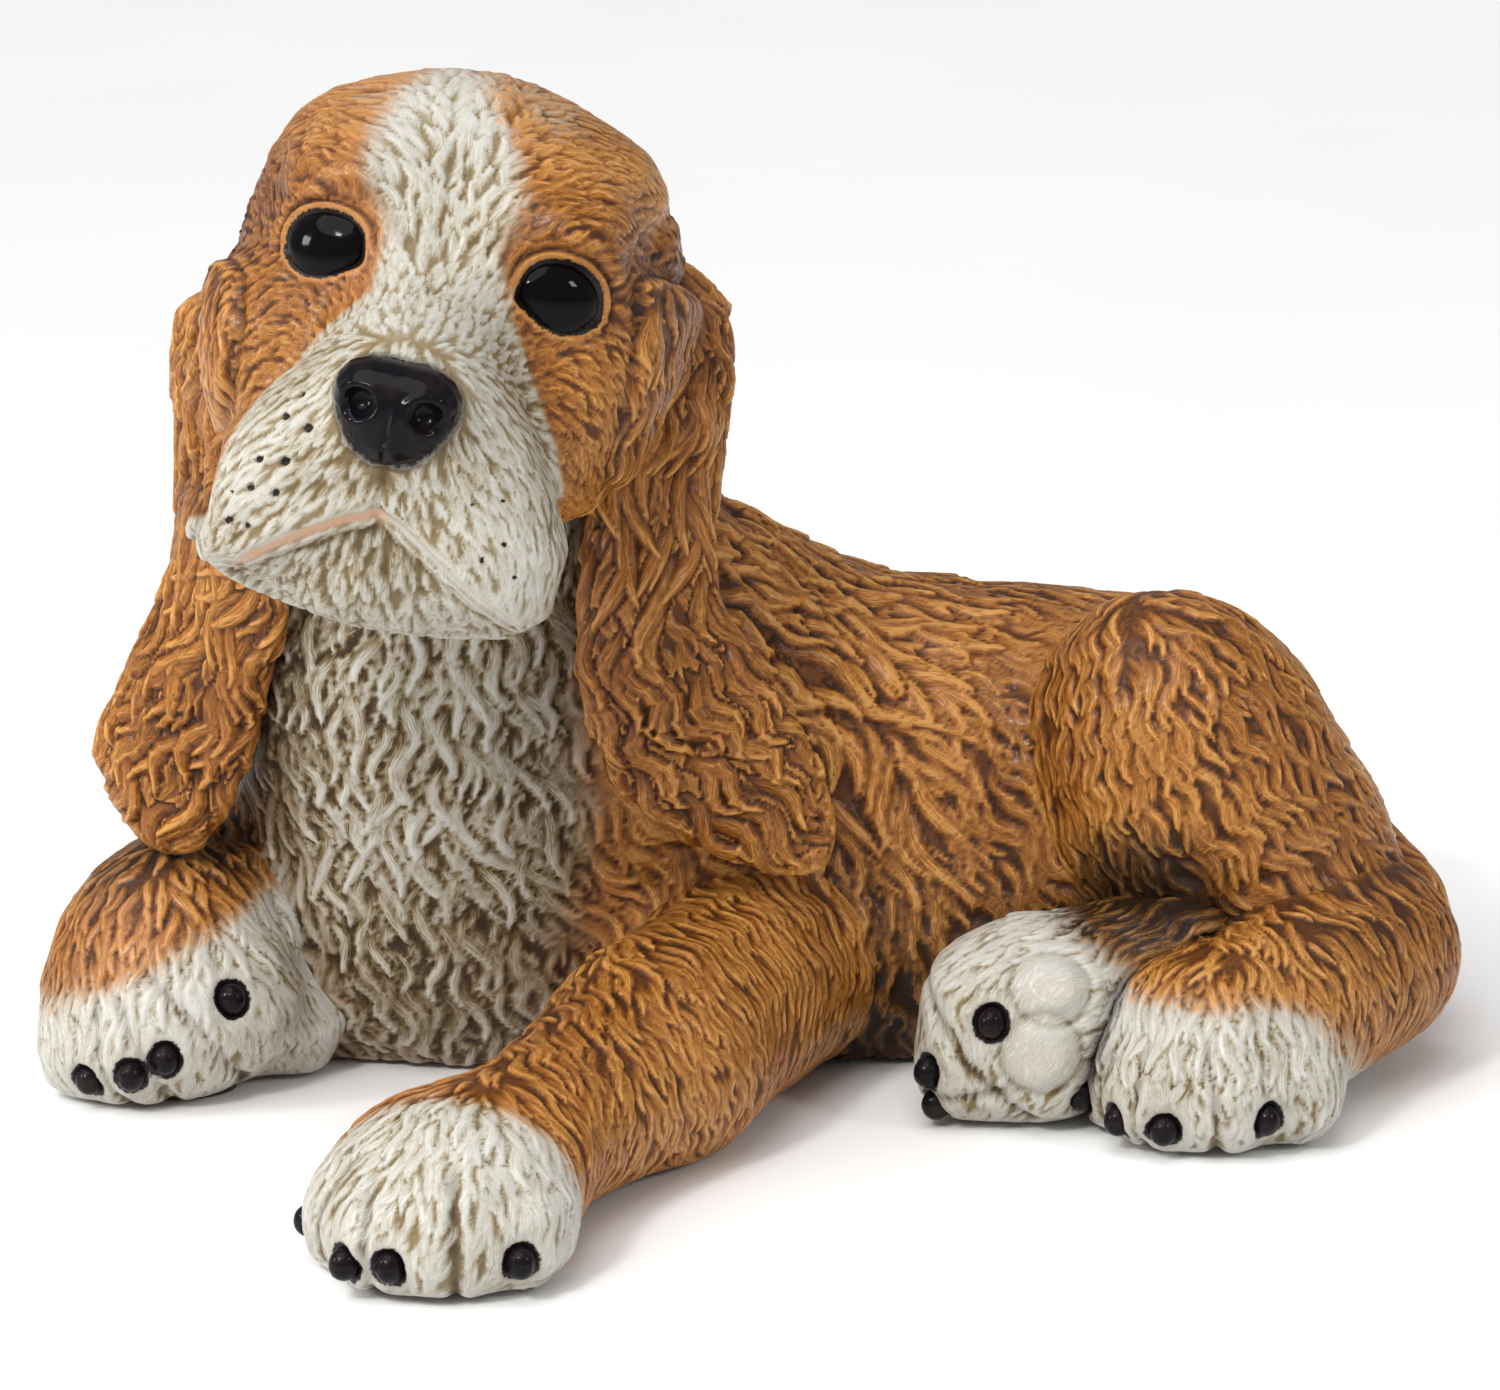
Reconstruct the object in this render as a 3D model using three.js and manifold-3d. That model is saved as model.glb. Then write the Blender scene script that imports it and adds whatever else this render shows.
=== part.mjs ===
// A reclining spaniel puppy figurine: hollow slip-cast ceramic castings luted together, with set-in
// glass eyes, a glazed nose, glazed claws and felt pads underneath.
// Millimetres, +Z up. The chest faces -X and -Y, the rump +X, and the dog's left side faces -Y.
import * as THREE from "three";
import { LoftGeometry } from "three/addons/geometries/LoftGeometry.js";
import { mergeVertices } from "three/addons/utils/BufferGeometryUtils.js";
import Module from "manifold-3d";

// Driving dimensions.
const WALL = 5; // wall of the hollow castings
const JOINT = 0.3; // luting gap between two castings, and round every inset
const FELT = 1; // thickness of the felt pads
const FLAT = FELT + JOINT; // height of the flats that the felt is glued to
const POUR_HOLE = 11; // radius of the casting hole under the belly
const NECK_VENT = 9; // radius of the hole that joins the head's hollow to the body's
const EYE_WIDTH = 16.6; // a glass eye, across the oval
const EYE_HEIGHT = 14;
const EYE_AT = [21.6, -36, 3]; // the left eye, from the centre of the skull
const EYE_TURN = [3, 8, 22]; // raised, leant and turned outward, in degrees
const EYE_INSET = 4.5; // how deep an eye is set into the head, and how far it stands out
const EYE_DOME = 3.6;
const NOSTRIL = 2.5; // radius of a nostril
const NOSTRIL_AT = [6.2, -76, -25]; // the left nostril, from the centre of the skull
const CLAW = [2.9, 3.4, 3.3]; // half width, half length and half height of a claw
const CLAW_SINK = 0.6; // how far a claw's middle lies under the skin of its toe
const HEAD_AT = [-57, -4, 163]; // centre of the skull
const HEAD_TURN = [-16, 12.5, -4]; // head tilted back, leant to its right, turned to its right, in degrees
const SLIVER = 0.02; // edges shorter than this are tidied away
const FAR = 400; // larger than the figurine, for cutting tools

const wasm = await Module();
wasm.setup();

// ---- Small helpers ----
const vec = (x = 0, y = 0, z = 0) => new THREE.Vector3(x, y, z);
const curve = (...points) => new THREE.CatmullRomCurve3(points.map((point) => vec(...point)));
const turned = (turn) => new THREE.Quaternion().setFromEuler(
  new THREE.Euler(...turn.map(THREE.MathUtils.degToRad), "ZYX"));

// The direction `heading` degrees round from -Y towards +X, raised by `rise` degrees.
const towards = (heading, rise = 0) => vec(0, -1, 0)
  .applyAxisAngle(vec(1, 0, 0), THREE.MathUtils.degToRad(-rise))
  .applyAxisAngle(vec(0, 0, 1), THREE.MathUtils.degToRad(heading));

// ---- Clay: signed distances, negative inside ----
// An ellipsoid of clay.
function egg(centre, radii, turn = [0, 0, 0]) {
  const inverse = new THREE.Matrix4().compose(vec(...centre), turned(turn), vec(1, 1, 1)).invert();
  const radius = vec(...radii);
  const p = vec();
  return (point) => {
    const scaled = p.copy(point).applyMatrix4(inverse).divide(radius).length();
    const slope = p.divide(radius).length();
    return slope < 1e-9 ? -Math.min(...radii) : (scaled * (scaled - 1)) / slope;
  };
}

// A round bar of clay from one point to another, with a radius at each end.
function roll(from, to, radiusFrom, radiusTo) {
  const line = new THREE.Line3(vec(...from), vec(...to));
  const nearest = vec();
  return (point) => {
    const along = line.closestPointToPointParameter(point, true);
    return line.at(along, nearest).distanceTo(point) - THREE.MathUtils.lerp(radiusFrom, radiusTo, along);
  };
}

// A toe: an egg of clay pointing along its heading.
const toe = (x, y, z, heading, radii = [8, 13, 10.5]) => egg([x, y, z], radii, [0, 0, heading]);

// Lumps pressed together, with a fillet about `blend` wide where they meet.
function press(blend, lumps) {
  return (point) => lumps.map((lump) => lump(point)).reduce((a, b) => {
    const h = Math.max(blend - Math.abs(a - b), 0) / blend;
    return Math.min(a, b) - (h * h * blend) / 4;
  });
}

// How far a ray from inside the clay goes before it comes out.
function reach(clay, from, direction, grow = 0) {
  const point = vec();
  const depth = (distance) => clay(point.copy(direction).multiplyScalar(distance).add(from)) - grow;
  let outside = 1;
  while (depth(outside) < 0 && outside < FAR) outside += 1;
  let inside = outside - 1;
  for (let i = 0; i < 12; i++) {
    const middle = (inside + outside) / 2;
    if (depth(middle) < 0) inside = middle;
    else outside = middle;
  }
  return inside;
}

// Skins clay with rings of points round a spine, rounded over at both ends. `grow` moves the skin out.
function skin(clay, spine, { rings, sides, caps, side = [1, 0, 0], grow = 0 }) {
  const stations = [];
  for (let i = 0; i < caps; i++) stations.push([0, (i / caps - 1) * Math.PI / 2]);
  for (let i = 0; i <= rings; i++) stations.push([i / rings, 0]);
  for (let i = 1; i <= caps; i++) stations.push([1, (i / caps) * Math.PI / 2]);
  const sections = stations.map(([along, lean]) => {
    const centre = spine.getPointAt(along);
    const ahead = spine.getTangentAt(along);
    const across = vec(...side).addScaledVector(ahead, -ahead.dot(vec(...side))).normalize();
    const up = vec().crossVectors(across, ahead);
    return Array.from({ length: sides }, (_, j) => {
      const turn = (j / sides) * 2 * Math.PI;
      const out = vec().addScaledVector(up, Math.cos(turn)).addScaledVector(across, Math.sin(turn));
      out.multiplyScalar(Math.cos(lean)).addScaledVector(ahead, Math.sin(lean)).normalize();
      return out.multiplyScalar(reach(clay, centre, out, grow)).add(centre);
    });
  });
  return new LoftGeometry(sections);
}

// A hanging flap such as an ear: oval sections along a path, rounded over at both ends.
// Each station is [centre, half width, half thickness, direction of the width].
function flap(stations, rings, sides) {
  const path = curve(...stations.map(([centre]) => centre));
  const size = curve(...stations.map(([, width, thickness]) => [width, thickness, 0]));
  const facing = curve(...stations.map(([, , , across]) => across));
  const sections = Array.from({ length: rings + 1 }, (_, i) => {
    const along = (1 - Math.cos((i / rings) * Math.PI)) / 2;
    const taper = Math.sqrt(Math.sin(along * Math.PI)) ** 0.8;
    const centre = path.getPoint(along);
    const across = facing.getPoint(along).normalize();
    const through = vec().crossVectors(across, path.getTangent(along)).normalize();
    const { x: width, y: thickness } = size.getPoint(along);
    return Array.from({ length: sides }, (_, j) => {
      const turn = (j / sides) * 2 * Math.PI;
      return vec().copy(centre)
        .addScaledVector(across, Math.cos(turn) * width * taper)
        .addScaledVector(through, -Math.sin(turn) * thickness * taper);
    });
  });
  return new LoftGeometry(sections);
}

// ---- Solids: joining and cutting ----
function toSolid(geometry, placed = new THREE.Matrix4()) {
  const plain = new THREE.BufferGeometry();
  plain.setAttribute("position", geometry.getAttribute("position").clone());
  plain.setIndex(geometry.index);
  const merged = mergeVertices(plain.applyMatrix4(placed), 1e-4);
  return new wasm.Manifold(new wasm.Mesh({
    numProp: 3,
    vertProperties: merged.getAttribute("position").array,
    triVerts: new Uint32Array(merged.index.array),
  }));
}

function toGeometry(solid) {
  const { vertProperties, triVerts } = solid.simplify(SLIVER).getMesh();
  const geometry = new THREE.BufferGeometry();
  geometry.setAttribute("position", new THREE.BufferAttribute(vertProperties, 3));
  geometry.setIndex(new THREE.BufferAttribute(triVerts, 1));
  geometry.computeVertexNormals();
  return geometry;
}

const cut = (solid, ...tools) => tools.reduce((left, tool) => left.subtract(tool), solid);

// A solid made in one group's frame, seen from the world, and the other way round.
const outOf = (group, solid) => toSolid(toGeometry(solid), group.matrixWorld);
const into = (group, solid) => toSolid(toGeometry(solid), group.matrixWorld.clone().invert());

// An upright round bar, and a slab that fills everything below a height.
function upright(radius, x, y, low, high) {
  const bar = new THREE.CylinderGeometry(radius, radius, high - low, 24).rotateX(Math.PI / 2);
  return toSolid(bar.translate(x, y, (low + high) / 2));
}
function below(height) {
  const slab = new THREE.BoxGeometry(2 * FAR, 2 * FAR, FAR);
  return toSolid(slab.translate(0, 0, height - FAR / 2));
}

// ---- The clay of each casting ----
// The body from the neck down over the chest and back to the rump, with the shoulder and far haunch.
const body = press(18, [
  roll([-58, 16, 130], [-57, 41, 96], 24, 34),
  egg([-60, 42, 62], [44, 38, 52]),
  egg([-78, 32, 84], [25, 24, 32]),
  egg([-62, 41, 18], [46, 30, 28]),
  egg([-6, 60, 51], [58, 40, 46]),
  egg([54, 62, 45], [60, 38, 44]),
  egg([20, 45, 20], [78, 33, 28]),
  roll([-46, 34, 114], [-2, 52, 84], 21, 16),
  egg([92, 66, 40], [28, 34, 40]),
  egg([-16, 32, 58], [25, 25, 34]),
  egg([-22, 50, 86], [26, 24, 20]),
  egg([84, 86, 32], [34, 20, 32]),
]);
const bodySpine = curve([-64, 34, 84], [-40, 45, 66], [-8, 54, 54], [40, 58, 48], [84, 64, 46]);

const leftForeleg = {
  clay: press(9, [
    roll([2, 16, 22], [-18, -28, 20], 22, 20),
    roll([-18, -28, 20], [-42, -70, 17], 20, 15),
    egg([-54, -85, 15], [23, 23, 17], [0, 0, -20]),
    toe(-71, -89, 9, -60, [8, 12, 10.5]),
    toe(-65, -99, 10, -32),
    toe(-53, -102, 10, -10),
    toe(-41, -96, 10, 20),
  ]),
  spine: curve([4, 18, 21], [-18, -28, 19], [-42, -68, 16], [-54, -85, 14]),
  claws: [[-84, -12], [-40, -12], [-23, -12], [28, -12]],
};

const rightForeleg = {
  clay: press(9, [
    roll([-104, 42, 26], [-116, 20, 24], 24, 23),
    egg([-117, 10, 18], [24, 20, 19]),
    toe(-131, 5, 9, -40),
    toe(-121, 0, 11, -12),
    toe(-110, 2, 14, 8),
    toe(-101, 6, 18, 40),
    toe(-90, 16, 8, 40, [8, 10, 8]),
  ]),
  spine: curve([-102, 44, 24], [-112, 26, 20], [-117, 10, 17]),
  claws: [[-37, -24], [-12, -18], [5, -11], [41, 16]],
};

const leftHindFoot = {
  clay: press(8, [
    roll([124, 20, 24], [106, -2, 21], 19, 19),
    egg([92, -14, 18], [23, 20, 18]),
    toe(76, -17, 9, -72, [8, 12, 10]),
    toe(81, -26, 10, -35),
    toe(93, -28, 10, -5),
    toe(106, -22, 10, 20),
  ]),
  spine: curve([122, 16, 22], [108, -1, 19], [92, -14, 16]),
  claws: [[-78, -16], [-52, -20], [-29, -20], [19, -18]],
};

// The far hind foot comes out on this side, with its sole to the front.
const rightHindFoot = {
  clay: press(8, [
    roll([86, 8, 24], [60, 1, 20], 17, 17),
    egg([52, -4, 18], [17, 18, 19]),
    egg([61, -13, 24], [11, 9, 9]),
    egg([59, -15, 10], [13, 9, 8]),
    egg([44, -10, 26], [9, 10, 8]),
    egg([41, -12, 11], [8, 11, 9]),
  ]),
  spine: curve([84, 8, 22], [66, 3, 20], [52, -4, 17]),
  claws: [[-16, 20], [-50, -12], [-52, -32]],
};

const leftHaunch = {
  clay: press(10, [
    egg([90, 30, 57], [30, 28, 41], [0, -22, 0]),
    egg([104, 34, 36], [28, 26, 30]),
  ]),
  spine: curve([84, 30, 64], [98, 32, 42]),
};

const tail = {
  clay: press(8, [
    roll([112, 62, 40], [130, 48, 26], 15, 12),
    egg([132, 44, 20], [11, 11, 13]),
  ]),
  spine: curve([112, 62, 38], [124, 52, 30], [131, 45, 20]),
};

// The head in its own frame: the origin in the skull, the muzzle towards -Y, the dog's left towards +X.
const skull = press(12, [
  egg([0, 2, 3], [43, 42, 41]),
  egg([-26, 4, 12], [15, 26, 19]),
  egg([27, 4, 13], [15, 26, 20]),
  egg([-26, -12, -16], [15, 22, 22]),
  egg([26, -12, -16], [15, 22, 22]),
  egg([-20, -28, 15], [13, 9, 8]),
  egg([20, -28, 15], [13, 9, 8]),
  roll([0, -30, -6], [0, -58, -22], 16, 12),
  egg([0, -48, -30], [23, 20, 17]),
  egg([-18, -46, -43], [14, 18, 16]),
  egg([18, -46, -43], [14, 18, 16]),
  egg([-25, -43, -49], [9, 13, 10]),
  egg([25, -43, -49], [9, 13, 10]),
  egg([0, -44, -53], [17, 15, 11]),
]);
const skullSpine = curve([0, 0, 0], [0, -13, -4.5], [0, -26, -9]);

// Each ear hangs from the side of the skull over the shoulder, and widens towards the tip.
const rightEar = [
  [[-92, 6, 184], 20, 6, [0.25, -0.97, 0]],
  [[-103, 6, 160], 23, 7, [0.28, -0.96, 0]],
  [[-102, 9, 129], 19, 7, [0.45, -0.9, 0]],
  [[-102, 14, 104], 17, 7, [0.6, -0.8, 0]],
  [[-110, 17, 82], 18, 7, [0.8, -0.6, 0]],
  [[-115, 16, 65], 22, 7, [0.9, -0.4, 0.1]],
  [[-113, 13, 48], 17, 6, [0.9, -0.4, 0.2]],
];
const leftEar = [
  [[-28, 12, 186], 20, 6, [0.55, 0.83, 0]],
  [[-17, 10, 160], 20, 7, [0.65, 0.75, 0]],
  [[-16, 8, 138], 16, 7, [0.75, 0.65, 0]],
  [[-20, 4, 112], 13, 7, [0.85, 0.5, 0]],
  [[-17, -1, 90], 17, 7, [0.95, 0.3, 0.2]],
  [[-6, -2, 70], 23, 7, [0.85, 0.1, 0.5]],
  [[14, -2, 51], 18, 6, [0.7, 0.1, 0.7]],
];

// ---- Finishes ----
const finish = (color, roughness) => new THREE.MeshStandardMaterial({ color, roughness });
const ginger = finish(0xb9702f, 0.45);
const gingerAndCream = finish(0xc99a68, 0.45);
const darkGlaze = finish(0x1c1816, 0.12);
const glass = finish(0x0b0a0a, 0.05);
const felt = finish(0x2d4a36, 0.95);

// ---- Assembly ----
const figurine = new THREE.Group();
figurine.name = "puppy_figurine";
const head = new THREE.Group();
head.position.set(...HEAD_AT);
head.quaternion.copy(turned(HEAD_TURN));
figurine.add(head);
figurine.updateMatrixWorld(true);

function add(group, name, solid, material) {
  const mesh = new THREE.Mesh(toGeometry(solid), material);
  mesh.name = name;
  group.add(mesh);
}

// A casting's solid, and the slightly larger tool that makes room for it in its neighbours.
function casting(clay, spine, detail) {
  return {
    solid: toSolid(skin(clay, spine, detail)),
    tool: toSolid(skin(clay, spine, { ...detail, grow: JOINT })),
  };
}
const limb = ({ clay, spine }) => casting(clay, spine, { rings: 12, sides: 18, caps: 6 });

const ground = below(FLAT);
const torso = casting(body, bodySpine, { rings: 18, sides: 28, caps: 9, side: [0, 1, 0] });
const skullCasting = casting(skull, skullSpine, { rings: 4, sides: 34, caps: 15 });
const hollow = (clay, spine, detail) => toSolid(skin(clay, spine, { ...detail, grow: -WALL }));
const haunch = limb(leftHaunch);

// Torso: hollow, open at the pour hole and at the neck.
add(figurine, "torso", cut(
  torso.solid,
  ground,
  hollow(body, bodySpine, { rings: 10, sides: 16, caps: 5, side: [0, 1, 0] }).subtract(below(FLAT + WALL)),
  upright(POUR_HOLE, 20, 45, 0, 30),
  upright(NECK_VENT, -58, 18, 90, FAR),
), ginger);

// Eyes: glass cabochons with a flat back, let into oval sockets.
function cabochon(extra) {
  const width = EYE_WIDTH / 2 + extra;
  const dome = EYE_DOME + extra;
  const profile = [[0, -EYE_INSET - extra], [width, -EYE_INSET - extra]];
  for (let i = 0; i <= 6; i++) {
    const angle = (i / 6) * Math.PI / 2;
    profile.push([width * Math.cos(angle), dome * Math.sin(angle)]);
  }
  const lathe = new THREE.LatheGeometry(profile.map(([x, y]) => new THREE.Vector2(x, y)), 20);
  return toSolid(lathe.scale(1, 1, EYE_HEIGHT / EYE_WIDTH).rotateX(Math.PI));
}
const eyes = [["left_eye", 1], ["right_eye", -1]].map(([name, sign]) => {
  const turn = turned([EYE_TURN[0], EYE_TURN[1] * sign, EYE_TURN[2] * sign]);
  const place = new THREE.Matrix4().compose(vec(sign * EYE_AT[0], EYE_AT[1], EYE_AT[2]), turn, vec(1, 1, 1));
  const [solid, socket] = [0, JOINT].map((extra) => toSolid(toGeometry(cabochon(extra)), place));
  return { name, solid, socket };
});

// Nose: a glazed pad with two nostrils, let into the end of the muzzle.
const noseClay = press(5, [
  egg([-4.8, -70, -22], [7, 7, 6]),
  egg([4.8, -70, -22], [7, 7, 6]),
  egg([0, -69, -28], [8.5, 7, 7]),
]);
const noseSpine = curve([0, -66, -23], [0, -67, -23.5], [0, -68, -24]);
const nose = casting(noseClay, noseSpine, { rings: 1, sides: 20, caps: 6 });
const nostrils = [-1, 1].map((sign) => toSolid(
  new THREE.SphereGeometry(NOSTRIL, 12, 8).translate(sign * NOSTRIL_AT[0], NOSTRIL_AT[1], NOSTRIL_AT[2])));

// Head: hollow, and open where the neck stands in it.
add(head, "head", cut(
  skullCasting.solid,
  hollow(skull, skullSpine, { rings: 2, sides: 18, caps: 8 }).subtract(nose.tool),
  into(head, torso.tool),
  nose.tool,
  ...eyes.map((eye) => eye.socket),
), gingerAndCream);
for (const eye of eyes) add(head, eye.name, eye.solid, glass);
add(head, "nose", cut(nose.solid, ...nostrils), darkGlaze);

// Legs and tail, each cut to sit against the torso, the near haunch and its neighbours.
function claws({ clay, spine, claws: places }) {
  const paw = spine.getPoint(1);
  return places.map(([heading, rise]) => {
    const out = towards(heading, rise);
    const tip = vec().copy(out).multiplyScalar(reach(clay, paw, out) - CLAW_SINK).add(paw);
    return [0, JOINT].map((extra) => {
      const size = CLAW.map((radius) => radius + extra);
      return toSolid(new THREE.SphereGeometry(1, 10, 7).rotateX(Math.PI / 2).scale(...size)
        .rotateZ(THREE.MathUtils.degToRad(heading)).translate(...tip));
    });
  });
}
const limbs = [
  ["left_haunch", leftHaunch],
  ["left_foreleg", leftForeleg],
  ["right_foreleg", rightForeleg],
  ["left_hind_foot", leftHindFoot],
  ["right_hind_foot", rightHindFoot],
  ["tail", tail],
];
const nails = limbs.flatMap(([name, part]) => (part.claws ? claws(part) : [])
  .map(([solid, socket], i) => ({ name: `${name}_claw_${i + 1}`, solid, socket })));
const limbTools = [];
for (const [name, part] of limbs) {
  const { solid, tool } = limb(part);
  const limbSolid = cut(solid, torso.tool, ground, ...limbTools, ...nails.map((nail) => nail.socket));
  add(figurine, name, limbSolid, ginger);
  limbTools.push(tool);
}
for (const nail of nails) add(figurine, nail.name, nail.solid, darkGlaze);

// Ears, laid over the head, the neck and the shoulder.
const headTool = outOf(head, skullCasting.tool);
for (const [name, stations] of [["left_ear", leftEar], ["right_ear", rightEar]]) {
  add(figurine, name, cut(toSolid(flap(stations, 22, 18)), torso.tool, headTool, ...limbTools), ginger);
}

// Felt pads, glued to the flats under the body and the paws.
const pads = [
  ["felt_base_pad", -6, 45, 76, 18],
  ["felt_pad_left_foreleg", -54, -84, 15, 14],
  ["felt_pad_right_foreleg", -117, 8, 14, 9],
  ["felt_pad_left_hind_foot", 92, -15, 15, 11],
  ["felt_pad_right_hind_foot", 53, -5, 8, 8],
];
for (const [name, x, y, halfLength, halfWidth] of pads) {
  const disc = new THREE.CylinderGeometry(1, 1, FELT, 36).rotateX(Math.PI / 2);
  add(figurine, name, toSolid(disc.scale(halfLength, halfWidth, 1).translate(x, y, FELT / 2)), felt);
}

// Stand the figurine on the floor, centred on its length and depth.
const box = new THREE.Box3().setFromObject(figurine, true);
const middle = box.getCenter(vec());
figurine.position.set(-middle.x, -middle.y, -box.min.z);
figurine.updateMatrixWorld(true);

export default figurine;
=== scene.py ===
"""A seated spaniel figurine: every casting gets its modelled coat, its paint and its glaze."""

import math

import bmesh
import bpy
import numpy as np
from mathutils import Euler, Matrix, Vector
from mathutils.bvhtree import BVHTree
from mathutils.kdtree import KDTree


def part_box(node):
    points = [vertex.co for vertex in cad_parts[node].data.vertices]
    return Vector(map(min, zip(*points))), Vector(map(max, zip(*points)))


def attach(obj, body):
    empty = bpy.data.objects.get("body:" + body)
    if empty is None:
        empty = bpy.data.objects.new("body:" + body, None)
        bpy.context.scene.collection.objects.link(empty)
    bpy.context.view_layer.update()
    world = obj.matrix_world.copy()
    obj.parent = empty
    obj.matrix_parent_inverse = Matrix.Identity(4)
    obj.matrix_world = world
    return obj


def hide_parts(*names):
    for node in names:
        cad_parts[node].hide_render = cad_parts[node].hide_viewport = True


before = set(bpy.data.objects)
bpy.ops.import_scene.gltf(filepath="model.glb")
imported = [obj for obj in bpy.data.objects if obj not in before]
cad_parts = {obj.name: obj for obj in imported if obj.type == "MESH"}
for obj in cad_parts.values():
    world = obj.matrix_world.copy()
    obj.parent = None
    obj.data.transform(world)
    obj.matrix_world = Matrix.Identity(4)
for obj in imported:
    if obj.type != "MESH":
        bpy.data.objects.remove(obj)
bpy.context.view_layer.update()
scene = bpy.context.scene

MM = 0.001
COARSE = 1.2  # voxel that closes a casting's joints and rounds off its facets, in mm
DRAFT = 1.0
FOOT = 1.1  # height that no coat reaches below, just over the felt, in mm
CALM_GROOVE = 0.18  # wash on skin that carries no locks
SUNK = 7.0  # depth that the top of an ear sinks into the head, in mm
JOINT_REACH = 9.0  # distance that painted shade reaches out from a crevice between castings, in mm


# ---------------------------------------------------------------- small helpers

def ramp(x, low, high):
    """A smooth step from 0 at low to 1 at high."""
    t = np.clip((x - low) / (high - low), 0, 1)
    return t * t * (3 - 2 * t)


def bump(x, width):
    return np.exp(-((x / width) ** 2))


def unit(v):
    return v / np.maximum(np.linalg.norm(v, axis=-1, keepdims=True), 1e-9)


def link(name, mesh):
    obj = bpy.data.objects.new(name, mesh)
    scene.collection.objects.link(obj)
    return obj


def read(mesh):
    """A quad mesh's points in mm, its quads and its edges."""
    points = np.empty(len(mesh.vertices) * 3, np.float32)
    mesh.vertices.foreach_get("co", points)
    quads = np.empty(len(mesh.loops), np.int32)
    mesh.loops.foreach_get("vertex_index", quads)
    edges = np.empty(len(mesh.edges) * 2, np.int32)
    mesh.edges.foreach_get("vertices", edges)
    return points.reshape(-1, 3).astype(float) / MM, quads.reshape(-1, 4), edges.reshape(-1, 2)


def write(mesh, points):
    mesh.vertices.foreach_set("co", (points * MM).astype(np.float32).ravel())
    mesh.update()


def averaged(values, edges):
    """Each point's value replaced by the mean of its neighbours'."""
    a, b = edges.T
    n = len(values)
    count = np.maximum(np.bincount(a, minlength=n) + np.bincount(b, minlength=n), 1)
    if values.ndim == 1:
        return (np.bincount(a, values[b], n) + np.bincount(b, values[a], n)) / count
    return np.stack([averaged(values[:, k], edges) for k in range(values.shape[1])], 1)


def relaxed(points, edges, turns, back=-0.52):
    """Smooths without shrinking: each turn pulls in, then pushes out."""
    for _ in range(turns):
        for step in (0.5, back):
            points = points + step * (averaged(points, edges) - points)
    return points


def facing(points, quads):
    """Unit normals at the points."""
    across = np.cross(points[quads[:, 2]] - points[quads[:, 0]],
                      points[quads[:, 3]] - points[quads[:, 1]])
    out = np.empty_like(points)
    for k in range(3):
        out[:, k] = np.bincount(quads.ravel(), np.repeat(across[:, k], 4), len(points))
    return unit(out)


def main_shell(mesh):
    """Drops every shell but the one with the most points, such as the wall of a closed cavity."""
    points, quads, edges = read(mesh)
    label = np.arange(len(points))
    while True:
        low = np.minimum(label[edges[:, 0]], label[edges[:, 1]])
        lower = label.copy()
        np.minimum.at(lower, label[edges[:, 0]], low)
        np.minimum.at(lower, label[edges[:, 1]], low)
        lower = lower[lower][lower]
        if (lower == label).all():
            break
        label = lower
    while (label[label] != label).any():
        label = label[label]
    names, counts = np.unique(label, return_counts=True)
    if len(names) == 1:
        return mesh
    keep = label == names[counts.argmax()]
    fresh = np.cumsum(keep) - 1
    out = bpy.data.meshes.new(mesh.name)
    out.from_pydata((points[keep] * MM).tolist(), [], fresh[quads[keep[quads[:, 0]]]].tolist())
    return out


def remeshed(obj, voxel):
    change = obj.modifiers.new("skin", "REMESH")
    change.mode = "VOXEL"
    change.voxel_size = voxel * MM
    change.use_smooth_shade = True
    graph = bpy.context.evaluated_depsgraph_get()
    mesh = bpy.data.meshes.new_from_object(obj.evaluated_get(graph))
    obj.modifiers.clear()
    obj.data = mesh


def skin(name, nodes, voxel, turns, plugs=()):
    """One closed skin over CAD nodes, with its holes plugged by balls and its facets rounded."""
    bm = bmesh.new()
    for node in nodes:
        bm.from_mesh(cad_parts[node].data)
    for centre, radius in plugs:
        bmesh.ops.create_icosphere(bm, subdivisions=3, radius=radius * MM,
                                   matrix=Matrix.Translation(Vector(centre) * MM))
    mesh = bpy.data.meshes.new(name)
    bm.to_mesh(mesh)
    bm.free()
    obj = link(name, mesh)
    remeshed(obj, min(COARSE, 2 * voxel))
    obj.data = main_shell(obj.data)
    points, quads, edges = read(obj.data)
    write(obj.data, relaxed(points, edges, turns))
    remeshed(obj, voxel * DRAFT)
    obj.data = main_shell(obj.data)
    points, quads, edges = read(obj.data)
    write(obj.data, relaxed(points, edges, 3))
    obj.data.polygons.foreach_set("use_smooth", [True] * len(obj.data.polygons))
    return obj


def node_tree(node):
    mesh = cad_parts[node].data
    points = [v.co / MM for v in mesh.vertices]
    return BVHTree.FromPolygons(points, [tuple(p.vertices) for p in mesh.polygons])


def box(node):
    low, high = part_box(node)
    return np.array(low) / MM, np.array(high) / MM


TREES = {}


def clearance(points, node, reach):
    """Distance from each point to a node's surface, negative inside it, and reach where it is further."""
    if node not in TREES:
        TREES[node] = node_tree(node)
    low, high = box(node)
    out = np.full(len(points), float(reach))
    near = ((points > low - reach) & (points < high + reach)).all(1)
    for i in np.nonzero(near)[0]:
        p = Vector(points[i])
        spot, normal, _, far = TREES[node].find_nearest(p, reach)
        if spot is not None:
            out[i] = far if (p - spot).dot(normal) >= 0 else -far
    return out


def tucked(points, node, weight, depth):
    """Draws points in under a node's surface, by each point's weight."""
    out = points.copy()
    for i in np.nonzero(weight > 0.01)[0]:
        spot, normal, _, _ = TREES[node].find_nearest(Vector(points[i]))
        goal = np.array(spot) - depth * np.array(normal)
        out[i] += weight[i] * (goal - points[i])
    return out


# ---------------------------------------------------------------- a casting and its strokes

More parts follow.
